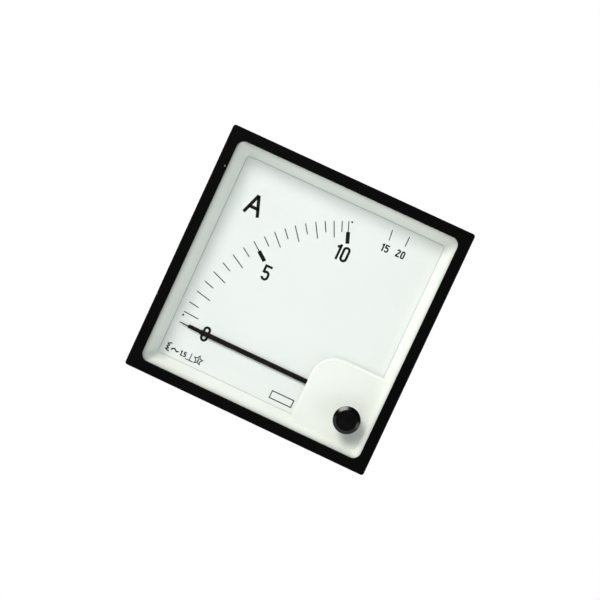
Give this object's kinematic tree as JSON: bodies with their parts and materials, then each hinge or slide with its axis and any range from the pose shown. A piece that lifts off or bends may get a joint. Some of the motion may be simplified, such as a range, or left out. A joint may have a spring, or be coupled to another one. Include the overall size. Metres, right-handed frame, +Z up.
{
  "type": "analog panel meter",
  "caption": "Square analog panel ammeter with a black front frame, white quadrant dial, corner-pivot pointer, zero adjuster, rear terminal studs and mounting straps.",
  "frame": {"origin": "centre of the flange's rear face, which seats on the panel", "axes": "+X to the right seen from the front, +Y to the rear through the panel, +Z up as the dial reads"},
  "size_m": [0.0964, 0.0714, 0.096],
  "materials": {
    "case": "moulded, fine satin texture",
    "bezel": "moulded, semi-matt",
    "glass": "clear, polished",
    "mask": "moulded ivory, satin",
    "dial": "white lacquer, matt",
    "steel": "zinc plated",
    "diecast": "die-cast",
    "brass": "turned",
    "bobbin": "moulded",
    "copper": "enamelled copper wire",
    "iron": "soft iron, annealed",
    "chamber": "moulded",
    "pointer": "dark brown-black lacquer",
    "alu": "bright sheet",
    "bronze": "spring bronze strip",
    "adjuster": "moulded, glossy"
  },
  "bodies": {
    "housing": {"case": "case", "bezel_frame": "bezel", "window_glass": "glass", "dial_mask": "mask", "dial_plate": "dial", "stop_pins": "steel", "movement_frame": "diecast", "front_bridge": "brass", "rear_bridge": "brass", "bridge_screws": "steel", "movement_screws": "steel", "front_bearing": "brass", "rear_bearing": "brass", "coil_bobbin": "bobbin", "coil_winding": "copper", "coil_leads": "copper", "fixed_iron": "iron", "damping_chamber": "chamber", "chamber_cover": "chamber", "terminal_studs": "brass", "terminal_washers": "steel", "spring_washers": "steel", "terminal_nuts": "brass"},
    "moving_system": {"spindle": "steel", "pointer": "pointer", "pointer_boss": "brass", "counterweights": "brass", "moving_iron": "iron", "damping_vane": "alu"},
    "zero_lever": {"zero_lever": "alu", "hairspring": "bronze"},
    "zero_adjuster": {"zero_adjuster": "adjuster", "adjuster_ring": "steel"},
    "left_clamp": {"left_strap": "steel", "left_strap_screw": "steel"},
    "right_clamp": {"right_strap": "steel", "right_strap_screw": "steel"}
  },
  "joints": [
    {"name": "pointer_hinge", "type": "hinge", "parent": "housing", "child": "moving_system", "pos_m": [0.0268, 0.02, -0.0266], "axis": [0, 1, 0], "range_deg": [-2, 92], "stiffness_Nm_per_rad": 0.000064},
    {"name": "lever_hinge", "type": "hinge", "parent": "housing", "child": "zero_lever", "pos_m": [0.0268, 0.0061, -0.0266], "axis": [0, 1, 0], "range_deg": [-5.2, 5.2]},
    {"name": "adjuster_hinge", "type": "hinge", "parent": "housing", "child": "zero_adjuster", "pos_m": [0.0342, -0.004, -0.0322], "axis": [0, 1, 0], "range_deg": [-45, 45]},
    {"name": "left_clamp_slide", "type": "slide", "parent": "housing", "child": "left_clamp", "axis": [0, 1, 0], "range_m": [-0.002, 0.007]},
    {"name": "right_clamp_slide", "type": "slide", "parent": "housing", "child": "right_clamp", "axis": [0, 1, 0], "range_m": [-0.002, 0.007]}
  ],
  "couplings": [
    {"joint": "lever_hinge", "follows": "adjuster_hinge", "ratio": 0.1145}
  ]
}
